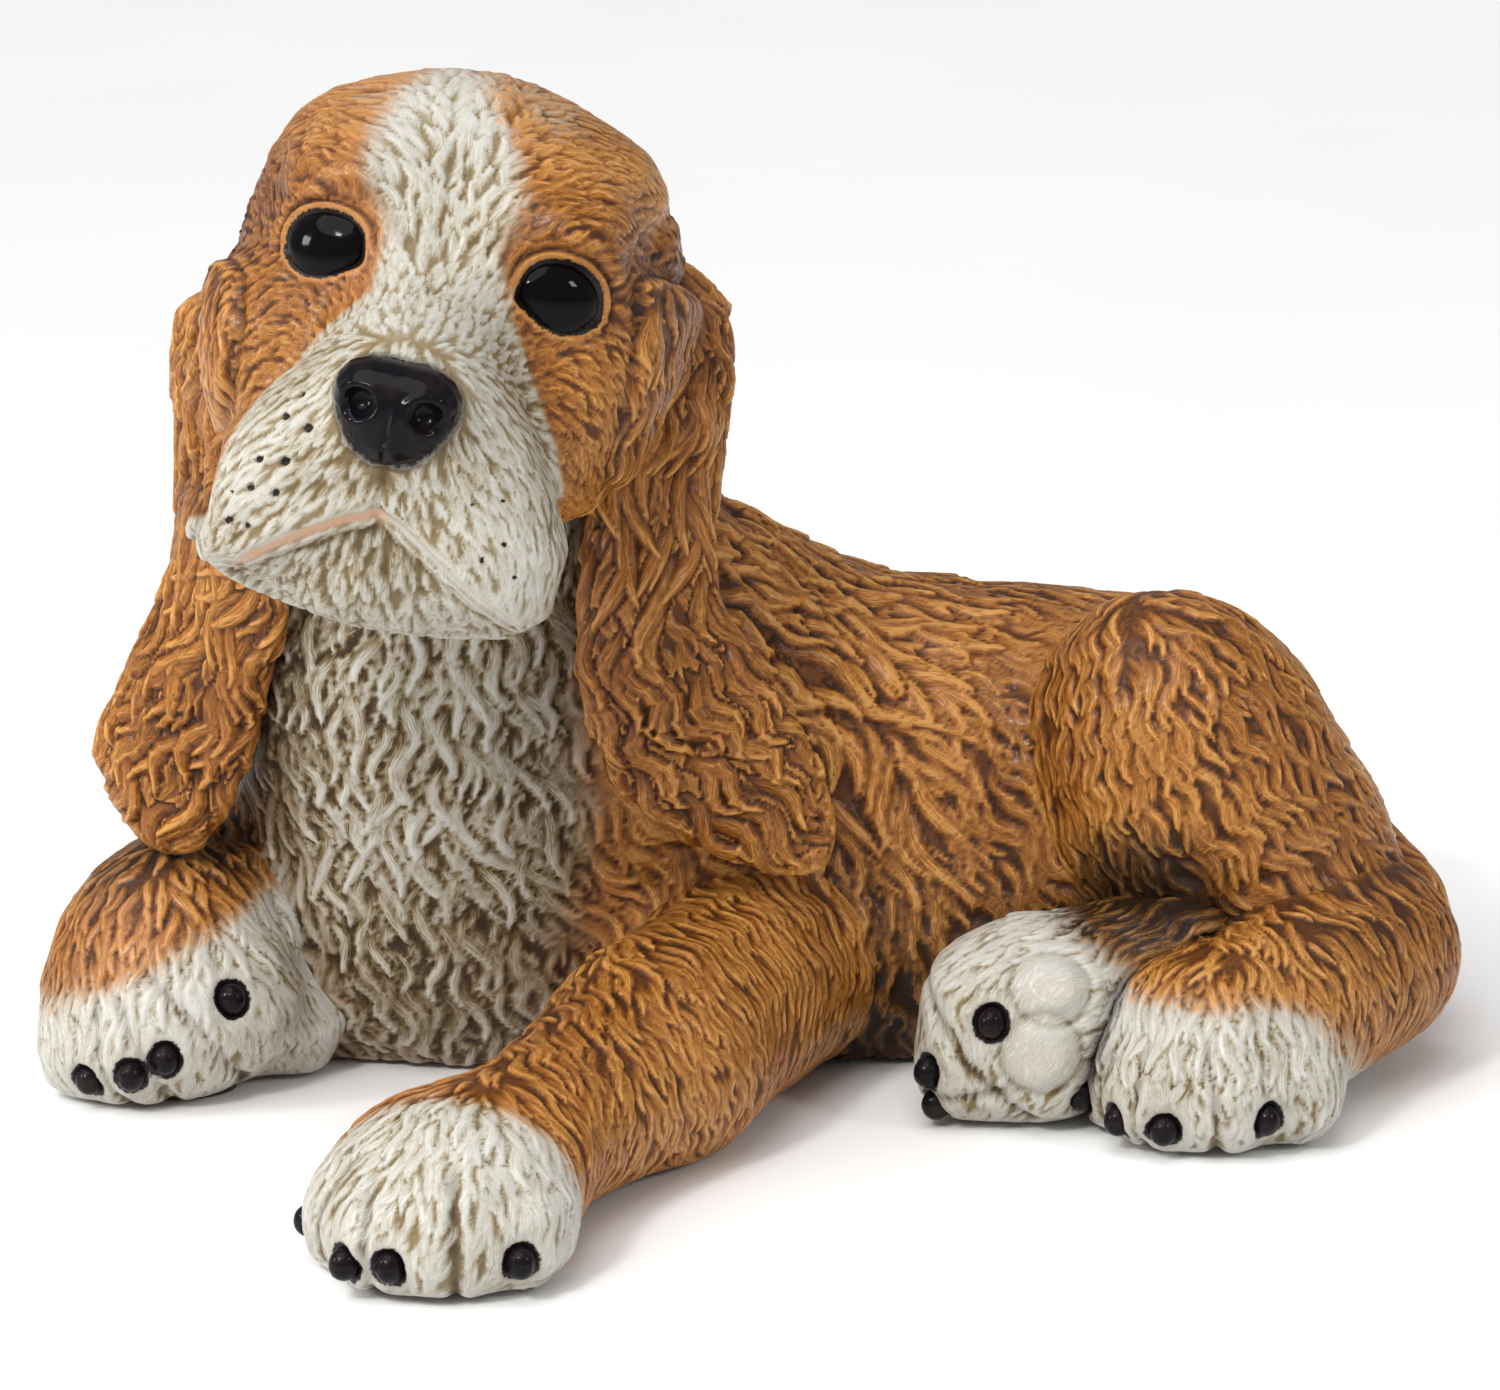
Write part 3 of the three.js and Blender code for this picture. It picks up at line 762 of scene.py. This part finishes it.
    # the lower muzzle a little darker, and painted shade on the chin below the lips
    muzzle = 0.1 * (1 - ramp(z, -20, -5)) + 0.16 * (1 - ramp(s, -5, 1)) * (z < -35)
    c.paint["grime_and_shade"] = np.maximum(c.paint["grime_and_shade"], muzzle)


def head_flow(points):
    q = local(points)
    x, y, z = q.T
    way = unit(q - np.array((0, -58, -22)))
    parting = ramp(z, 8, 24) * ramp(abs(x), 6, 16)
    aside = np.stack([np.sign(x), np.full(len(x), 0.5), np.full(len(x), -0.35)], 1)
    way = way + 1.3 * parting[:, None] * unit(aside)
    down = ramp(abs(x), 22, 32) * (1 - ramp(z, -5, 10)) + ramp(y, 5, 25)
    way[:, 2] -= 0.8 * down
    under = 1 - ramp(z, -58, -50)
    way[:, 1] += 0.6 * under
    return way @ TO_HEAD.T


# The lie of the hair: a place and a heading for each guide. Those on the sides that show were
# measured lock by lock with a separate script. Those on the hidden sides were given one by
# one.
FLOWS = {
    "torso": [
        ((0.10, 0.10, 0.65), (-0.4, 0, -0.9)), ((0.17, 0.10, 0.60), (0, 0, -1)),
        ((0.25, 0.10, 0.60), (0.2, 0, -1)), ((0.08, 0.15, 0.40), (0.3, 0, -1)),
        ((0.17, 0.10, 0.40), (-0.1, 0.1, -1)), ((0.25, 0.10, 0.40), (0.2, 0, -1)),
        ((0.10, 0.20, 0.20), (0.3, 0, -0.9)), ((0.20, 0.15, 0.20), (0.1, 0, -1)),
        ((0.30, 0.15, 0.30), (0.5, 0.1, -0.9)), ((0.35, 0.15, 0.28), (0.7, 0.1, -0.7)),
        ((0.45, 0.45, 0.70), (0.8, 0, -0.6)), ((0.50, 0.30, 0.60), (0.8, 0.3, -0.4)),
        ((0.45, 0.25, 0.56), (0.7, 0.1, -0.7)), ((0.50, 0.20, 0.45), (0.9, 0.1, -0.4)),
        ((0.58, 0.25, 0.40), (0.1, -0.2, -1)), ((0.60, 0.50, 0.60), (1, 0, -0.2)),
        ((0.65, 0.40, 0.55), (1, -0.2, -0.2)), ((0.60, 0.30, 0.46), (0.8, -0.1, -0.5)),
        ((0.65, 0.28, 0.37), (0.6, -0.2, -0.8)), ((0.60, 0.25, 0.30), (0.4, -0.3, -0.9)),
        ((0.55, 0.20, 0.22), (0.1, -0.2, -1)), ((0.50, 0.20, 0.15), (-0.1, 0.1, -1)),
        ((0.75, 0.55, 0.58), (0.7, -0.4, -0.3)), ((0.95, 0.50, 0.50), (0.4, 0, -0.9)),
        ((1.00, 0.70, 0.30), (0.2, 0.2, -1)), ((0.50, 0.70, 0.60), (0.9, 0.3, -0.2)),
        ((0.80, 0.80, 0.50), (0.7, 0.4, -0.6)), ((0.50, 0.95, 0.30), (0.5, 0.1, -0.9)),
        ((0.20, 0.50, 0.70), (0.1, 0.6, -0.8)), ((0.10, 0.40, 0.40), (-0.3, 0.3, -0.9)),
        ((0.25, 0.60, 0.85), (0.3, 0.7, -0.7)), ((0.85, 0.95, 0.20), (0.3, 0.2, -0.9))],
    "left_haunch": [
        ((0.20, 0.50, 0.95), (-0.3, -0.7, -0.6)), ((0.35, 0.40, 1.0), (0.9, -0.1, -0.4)),
        ((0.50, 0.30, 0.95), (0.6, -0.3, -0.7)), ((0.30, 0.15, 0.85), (0.2, -0.4, -0.9)),
        ((0.20, 0.10, 0.70), (0.3, 0, -0.9)), ((0.50, 0.10, 0.75), (0.6, 0, -0.8)),
        ((0.70, 0.30, 0.80), (0.5, 0.1, -0.9)), ((0.40, 0, 0.50), (0.6, 0, -0.8)),
        ((0.70, 0.10, 0.45), (0.6, 0.4, -0.7)), ((0.90, 0.60, 0.50), (0.3, 0.4, -0.9))],
    "left_hind_foot": [
        ((0.65, 0.45, 0.90), (0.6, -0.2, -0.7)), ((0.40, 0.40, 0.90), (0.3, -0.9, -0.3)),
        ((0.25, 0.25, 0.80), (-0.5, -0.7, -0.6)), ((0.20, 0.15, 0.60), (-0.3, -0.5, -0.8)),
        ((0.35, 0.10, 0.60), (0.1, -0.5, -0.9)), ((0.55, 0.15, 0.55), (0.2, -0.4, -0.9)),
        ((0.90, 0.60, 0.60), (0.5, -0.3, -0.8))],
    "right_hind_foot": [
        ((0.55, 0.40, 0.90), (-0.7, -0.7, -0.1)), ((0.25, 0.25, 0.90), (-0.8, -0.4, -0.4)),
        ((0.10, 0.15, 0.75), (-0.5, 0, -0.8)), ((0.05, 0.10, 0.45), (0.1, -0.4, -0.9))],
    "left_foreleg": [
        ((0.65, 0.60, 0.95), (0.6, -0.5, -0.6)), ((0.45, 0.35, 0.75), (0.3, -0.8, -0.5)),
        ((0.50, 0.50, 0.85), (0.4, -0.8, -0.5)), ((0.65, 0.45, 0.60), (0.3, 0.2, -0.9)),
        ((0.45, 0.25, 0.65), (0.4, -0.3, -0.8)), ((0.20, 0.25, 0.70), (-0.5, -0.5, -0.7)),
        ((0.25, 0.10, 0.65), (-0.1, -0.8, -0.6)), ((0.10, 0.10, 0.50), (-0.6, -0.2, -0.8)),
        ((0.40, 0.10, 0.55), (0.3, -0.6, -0.7))],
    "right_foreleg": [
        ((0.30, 0.35, 0.90), (-0.6, -0.4, -0.6)), ((0.50, 0.30, 0.90), (0.4, -0.7, -0.5)),
        ((0.65, 0.30, 0.80), (0.6, -0.3, -0.7)), ((0.15, 0.20, 0.60), (-0.1, -0.5, -0.9)),
        ((0.40, 0.10, 0.65), (-0.3, -0.5, -0.8)), ((0.60, 0.15, 0.65), (0.2, -0.3, -0.9)),
        ((0.80, 0.15, 0.55), (0.4, 0.3, -0.9)), ((0.10, 0.70, 0.60), (-0.5, -0.1, -0.8))],
    "left_ear": [
        ((0.45, 0.55, 0.90), (0.4, 0.2, -0.9)), ((0.30, 0.20, 0.65), (-0.4, 0, -0.9)),
        ((0.45, 0.40, 0.70), (-0.3, -0.2, -0.9)), ((0.15, 0.10, 0.50), (-0.1, -0.2, -1)),
        ((0.30, 0.20, 0.50), (0, -0.2, -1)), ((0.50, 0.20, 0.35), (0.5, 0, -0.9)),
        ((0.25, 0, 0.30), (0.3, 0, -1)), ((0.50, 0, 0.20), (0.7, 0.1, -0.7)),
        ((0.70, 0.10, 0.10), (0.7, 0.1, -0.7))],
    "right_ear": [
        ((0.70, 0.20, 0.90), (-0.3, -0.2, -0.9)), ((0.65, 0.10, 0.80), (0, 0.2, -1)),
        ((0.70, 0.10, 0.70), (-0.1, 0.4, -0.9)), ((0.70, 0.40, 0.40), (-0.5, 0.4, -0.8)),
        ((0.50, 0.50, 0.35), (-0.6, 0.3, -0.7)), ((0.30, 0.60, 0.20), (-0.5, 0.2, -0.8)),
        ((0.45, 0.50, 0.20), (-0.4, 0.2, -0.9)), ((0.70, 0.40, 0.30), (0, 0.1, -1))],
    "tail": [((0.75, 0.15, 0.60), (0.3, -0.1, -0.9)), ((0.50, 0.50, 0.20), (0.1, -0.2, -1))],
}


def coat_head(c):
    q = local(c.at)
    x, y, z = q.T
    plain = (1 - c.paint["white"]) * (1 - c.ear)
    face = c.paint["white"] * (z < 2) * (1 - c.ear)
    c.strokes(face, head_flow, 4.8, 1.4, 0.2, sway=14, wave=9, seed=11, lean=0.1, overlap=2.4)
    c.strokes(c.paint["white"] * (z >= 2), head_flow, 8.0, 1.8, 0.38, sway=24, wave=10, seed=12,
              lean=0.1)
    c.strokes(plain * (z < 14) * (y < 6), head_flow, 5.0, 1.7, 0.45, sway=18, wave=8, seed=13)
    c.strokes(plain * (z >= 10), head_flow, 8.5, 2.5, 0.85, sway=26, wave=10, seed=14)
    c.strokes(plain * (y >= 2) * (z < 14), head_flow, 11, 3.2, 1.2, sway=30, wave=12, seed=15)
    falling = guided(c, [((0.95, 0.4, 0.7), (0.3, 0.1, -1)), ((0.95, 0.4, 0.4), (-0.2, 0, -1)),
                         ((0.05, 0.4, 0.7), (-0.3, 0.1, -1)), ((0.05, 0.4, 0.4), (0, 0, -1))])
    c.strokes(c.ear, falling, 13, 3.6, 1.5, sway=36, wave=14, seed=16)
    c.depth = 0.65 + 0.8 * c.paint["white"]
    c.wash = 0.24 - 0.06 * c.paint["white"] - 0.12 * ramp(z, 18, 34) + 0.16 * bump(z - 11, 8)


def coat_torso(c):
    flow = guided(c, FLOWS["torso"])
    x, y, z = c.at.T
    chest = (1 - ramp(x, -40, -22)) * (1 - ramp(y, 28, 44))
    shoulder = ramp(x, -30, -18) * (1 - ramp(x, 22, 34)) * ramp(z, 40, 52) * (1 - ramp(y, 60, 75))
    back = ramp(z, 74, 84) * ramp(x, 20, 34)
    rest = np.clip(1 - chest - shoulder - back, 0, 1)
    nape = ramp(z, 84, 94) * ramp(x, -30, -15) * (1 - ramp(x, 16, 26))
    c.strokes(rest, flow, 13, 2.9, 1.35, sway=32, wave=13, seed=21, overlap=3.5, stray=0.35)
    c.strokes(back, flow, 10, 2.6, 0.95, sway=22, wave=11, seed=22, overlap=3.5, stray=0.35)
    c.strokes(chest, flow, 9, 2.4, 0.9, sway=40, wave=13, seed=26, overlap=3.5)
    c.strokes(chest, flow, 20, 4.0, 2.1, sway=36, wave=20, seed=23, overlap=2.9, stray=0.4)
    c.strokes(shoulder, flow, 22, 4.4, 2.5, sway=30, wave=21, seed=24, lines=1.4, stray=0.3)
    c.strokes(nape, flow, 18, 6.0, 3.4, sway=26, wave=18, seed=25, overlap=1.6)
    c.paint["white"] = (1 - ramp(x, -42, -16)) * (1 - ramp(y, 20, 44))
    sides = ramp(x, -52, -24) + ramp(-x, 80, 96) * ramp(z, 30, 60)
    foot = 1 - ramp(z, 18, 58)
    c.paint["white"] = c.paint["white"] * (1 - 0.42 * np.clip(sides + 0.7 * foot, 0, 1))
    c.wash = 0.24 + chest * (0.16 + 0.1 * np.clip(sides + foot, 0, 1))
    # the chest darker towards its sides and bottom
    c.paint["grime_and_shade"] = np.maximum(c.paint["grime_and_shade"], chest * (0.2 + 0.26 * np.clip(sides, 0, 1)
                                                           + 0.12 * foot))
    # painted shade under the belly, partly darker paint
    belly = (1 - ramp(z, 16, 62)) * ramp(x, -30, 0)
    c.paint["grime_and_shade"] = np.maximum(c.paint["grime_and_shade"], 0.72 * belly)
    c.wash = c.wash + 0.16 * belly


def coat_limb(c):
    flow = guided(c, FLOWS[c.node])
    x, y, z = c.at.T
    # each limb gets a set amount of dark paint, partly painted shade; more on the right foreleg's upper
    # back and the left hind foot's top
    if c.node == "left_foreleg":
        white = 1 - ramp(y + 0.12 * (x + 50), -94, -78)
        c.paint["grime_and_shade"] = np.maximum(c.paint["grime_and_shade"], 0.12)
    elif c.node == "right_foreleg":
        white = 1 - ramp(z - 0.45 * (x + 110), 27, 41)
        brown = ramp(z, 30, 44) * ramp(y, 0, 20)
        c.paint["grime_and_shade"] = np.maximum(c.paint["grime_and_shade"], 0.18 + 0.5 * brown)
    elif c.node == "left_hind_foot":
        white = (1 - ramp(z, 23, 36)) * (1 - ramp(x + 0.7 * z, 118, 138))
        c.paint["grime_and_shade"] = np.maximum(c.paint["grime_and_shade"], 0.24 + 0.12 * ramp(z, 24, 34))
    elif c.node == "right_hind_foot":
        white = 1 - ramp(0.7 * x + z, 76, 90)
        c.paint["grime_and_shade"] = np.maximum(c.paint["grime_and_shade"], 0.2)
    else:
        white = np.zeros(len(x))
    c.paint["white"] = white
    if c.node.endswith("haunch"):
        c.strokes(np.ones(len(x)), flow, 13, 3.0, 1.5, sway=32, wave=14, seed=31, overlap=3.6,
                  stray=0.35)
    elif c.node == "tail":
        c.strokes(np.ones(len(x)), flow, 12, 3.2, 1.5, sway=34, wave=12, seed=32)
    else:
        c.strokes(1 - white, flow, 12, 2.7, 1.2, sway=26, wave=13, seed=33, overlap=3.6, stray=0.4)
        c.strokes(white, flow, 6.5, 1.8, 0.27, sway=22, wave=9, seed=34)
        c.depth = 0.65 + 0.6 * white
        c.wash = 0.24 - 0.08 * white


def seat_ear(c):
    """The top of an ear grows out of the side of the head."""
    low, high = (156, 172) if c.node == "right_ear" else (159, 173)
    c.at = tucked(c.at, "head", ramp(c.at[:, 2], low, high), SUNK)
    c.out = facing(c.at, c.quads)
    c.tree = None


def coat_ear(c):
    flow = guided(c, FLOWS[c.node])
    c.strokes(np.ones(len(c.at)), flow, 10, 2.2, 0.6, sway=36, wave=14, seed=42)
    c.strokes(np.ones(len(c.at)), flow, 24, 4.8, 3.3, sway=38, wave=22, seed=41, lines=1.4,
              edge=0.85, overlap=2.9, stray=0.3)
    c.wash = c.wash + 0.03
    c.depth = 1.0


CREVICE = (75, 8, 36)  # centre of the painted shadow between the belly, the near haunch and the hind feet
PITCH = {"torso": 0.9, "head": 0.58, "left_foreleg": 0.62, "right_foreleg": 0.6, "left_haunch": 0.66,
         "left_hind_foot": 0.6, "right_hind_foot": 0.6, "tail": 0.6, "left_ear": 0.5, "right_ear": 0.5}
body_paint = coat_paint("coat_paint", 0.35)
face_paint = coat_paint("face_paint", 0.28)

for node in CASTINGS:
    members = [node] + (["left_eye", "right_eye", "nose"] if node == "head" else [])
    plugs = {"torso": (NECK, POUR), "head": (NECK,)}.get(node, ())
    c = Casting(f"{node}_casting", members, PITCH[node], plugs=plugs,
                slot="face_glaze" if node == "head" else "body_glaze")
    settle(c)
    if node == "head":
        model_head(c)
        rim = c.paint.pop("rim")
        coat_head(c)
        c.raise_strokes()
        c.paint["white"] = c.paint["white"] * (1 - np.clip(rim, 0, 1))
    elif node == "torso":
        coat_torso(c)
        c.raise_strokes()
    elif node.endswith("ear"):
        seat_ear(c)
        coat_ear(c)
        c.raise_strokes()
    else:
        model_toes(c)
        clear_claws(c)
        if node == "right_hind_foot":
            model_sole(c)
        coat_limb(c)
        c.raise_strokes()
    # painted shadow in the crevice under the belly, on every casting
    shadow(c, CREVICE, 27, 1.0)
    c.finish(face_paint if node == "head" else body_paint)


# ---------------------------------------------------------------- glass, glaze and felt

def glazed(node, voxel, turns, material):
    obj = skin(f"{node}_glazed", [node], voxel, turns)
    obj.data.materials.clear()
    obj.data.materials.append(material)
    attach(obj, "root")
    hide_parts(node)
    return obj


def model_nose(obj):
    """Wide, rimmed nostrils, with a shallow furrow running down between them."""
    points, quads, _ = read(obj.data)
    out = facing(points, quads)
    x, y, z = local(points).T
    front = ramp(-(out @ TO_HEAD)[:, 1], 0.0, 0.5)
    push = -0.5 * front * bump(x, 0.6) * (1 - ramp(z, -27, -23))
    for sign in (-1, 1):
        far = np.hypot(x - sign * NOSTRIL_AT[0], 1.2 * (z - NOSTRIL_AT[1]))
        push += front * (-0.9 * (1 - ramp(far, 2.4, NOSTRIL)) + 0.35 * bump(far - 4.3, 0.9))
    write(obj.data, points + out * push[:, None])


eye_glass = glaze("eye_glass", srgb(8, 6, 8), srgb(14, 10, 10), 0.03)
nose_glaze = glaze("nose_glaze", srgb(16, 14, 18), srgb(42, 32, 30), 0.12)
claw_glaze = glaze("claw_glaze", srgb(22, 18, 20), srgb(58, 48, 44), 0.16)
for side in ("left", "right"):
    glazed(f"{side}_eye", 0.35, 4, eye_glass)
model_nose(glazed("nose", 0.34, 3, nose_glaze))
for claw in CLAWS:
    glazed(claw, 0.32, 3, claw_glaze)

felt = felt_paint()
for node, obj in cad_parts.items():
    if node.startswith("felt_"):
        obj.data.materials.clear()
        obj.data.materials.append(felt)


# ---------------------------------------------------------------- floor, light and camera

FLOOR_SIZE = 3.0  # from the middle to an edge, in m
SKY = 0.4  # strength of the light from all round

ground = bmesh.new()
bmesh.ops.create_grid(ground, x_segments=1, y_segments=1, size=FLOOR_SIZE)
floor_mesh = bpy.data.meshes.new("floor")
ground.to_mesh(floor_mesh)
ground.free()
floor = link("floor", floor_mesh)
pale = Paint("pale_floor", Roughness=0.7)
pale.set("Base Color", pale.colours(pale.noise(3.0), (0.3, srgb(244, 244, 244)),
                                    (0.7, srgb(248, 248, 248))))
floor.data.materials.append(pale.material)

world = bpy.data.worlds.new("studio")
world.use_nodes = True
world.node_tree.nodes["Background"].inputs["Color"].default_value = (1, 1, 1, 1)
world.node_tree.nodes["Background"].inputs["Strength"].default_value = SKY
scene.world = world
scene.view_settings.view_transform = "Standard"


def lamp(name, kind, place, aim, energy, **shape):
    data = bpy.data.lights.new(name, kind)
    data.energy = energy
    for key, value in shape.items():
        setattr(data, key, value)
    obj = link(name, data)
    obj.location = Vector(place)
    obj.rotation_euler = (Vector(aim) - Vector(place)).to_track_quat("-Z", "Y").to_euler()


middle = (0, 0, 0.09)
lamp("overhead", "SUN", (-0.5, -0.6, 1.6), middle, 2.1, angle=math.radians(60))
lamp("key", "AREA", (-0.45, -0.75, 0.8), middle, 4.5, shape="RECTANGLE", size=0.16, size_y=0.12)
lamp("window", "AREA", (-0.95, -0.3, 0.45), middle, 3.0, shape="RECTANGLE", size=0.16, size_y=0.2)
lamp("side", "AREA", (0.8, -0.5, 0.6), middle, 1.6, shape="RECTANGLE", size=0.14, size_y=0.16)

RISE = math.radians(20.0)  # how high the camera stands, as an angle at the figure's foot
DIP = 15.8  # how far it looks down, in degrees
AWAY = 1.1  # from the figure's foot, in m
ASIDE, NEARER = -0.001, 0.003
FOCAL, SENSOR = 132, 36  # in mm
lens = bpy.data.cameras.new("camera")
lens.lens = FOCAL
lens.sensor_width = SENSOR
lens.clip_end = 20
camera = link("camera", lens)
camera.location = (ASIDE, -AWAY * math.cos(RISE) + NEARER, AWAY * math.sin(RISE))
camera.rotation_euler = (math.radians(90 - DIP), 0, 0)
scene.camera = camera
